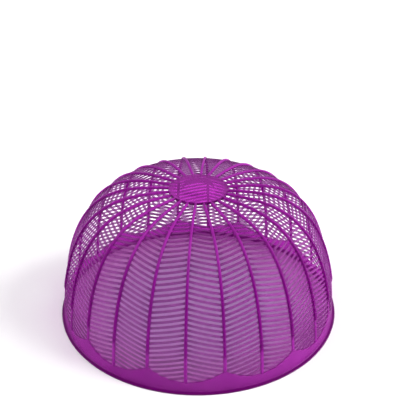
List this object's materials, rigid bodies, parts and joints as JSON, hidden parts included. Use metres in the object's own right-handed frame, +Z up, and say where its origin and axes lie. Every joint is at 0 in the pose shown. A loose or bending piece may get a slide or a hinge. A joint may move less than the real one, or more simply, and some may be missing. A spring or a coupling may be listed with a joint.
{
  "type": "food cover",
  "caption": "Domed openwork food cover of clear tinted plastic: herringbone slat panels between raised ribs, scalloped solid band with thin flange, low round crown boss.",
  "frame": {"origin": "centre of the ring on which the cover stands, on the table", "axes": "+Z up along the dome's axis, -Y under the first midrib, +X to the right of it seen from outside"},
  "size_m": [0.3, 0.3, 0.1489],
  "materials": {
    "band_plastic": "clear magenta plastic, smooth, plain wall",
    "slat_plastic": "clear magenta plastic, smooth, thin slats",
    "rib_plastic": "clear magenta plastic, smooth, darker where the rib is thick"
  },
  "bodies": {
    "root": {"rim_band": "band_plastic", "crown": "band_plastic", "leaf_01": "slat_plastic", "leaf_01_middle": "slat_plastic", "leaf_01_top": "slat_plastic", "leaf_02": "slat_plastic", "leaf_02_middle": "slat_plastic", "leaf_02_top": "slat_plastic", "leaf_03": "slat_plastic", "leaf_03_middle": "slat_plastic", "leaf_03_top": "slat_plastic", "leaf_04": "slat_plastic", "leaf_04_middle": "slat_plastic", "leaf_04_top": "slat_plastic", "leaf_05": "slat_plastic", "leaf_05_middle": "slat_plastic", "leaf_05_top": "slat_plastic", "leaf_06": "slat_plastic", "leaf_06_middle": "slat_plastic", "leaf_06_top": "slat_plastic", "leaf_07": "slat_plastic", "leaf_07_middle": "slat_plastic", "leaf_07_top": "slat_plastic", "leaf_08": "slat_plastic", "leaf_08_middle": "slat_plastic", "leaf_08_top": "slat_plastic", "leaf_09": "slat_plastic", "leaf_09_middle": "slat_plastic", "leaf_09_top": "slat_plastic", "leaf_10": "slat_plastic", "leaf_10_middle": "slat_plastic", "leaf_10_top": "slat_plastic", "leaf_11": "slat_plastic", "leaf_11_middle": "slat_plastic", "leaf_11_top": "slat_plastic", "leaf_12": "slat_plastic", "leaf_12_middle": "slat_plastic", "leaf_12_top": "slat_plastic", "seam_rib_01": "rib_plastic", "seam_rib_02": "rib_plastic", "seam_rib_03": "rib_plastic", "seam_rib_04": "rib_plastic", "seam_rib_05": "rib_plastic", "seam_rib_06": "rib_plastic", "seam_rib_07": "rib_plastic", "seam_rib_08": "rib_plastic", "seam_rib_09": "rib_plastic", "seam_rib_10": "rib_plastic", "seam_rib_11": "rib_plastic", "seam_rib_12": "rib_plastic"}
  },
  "joints": []
}
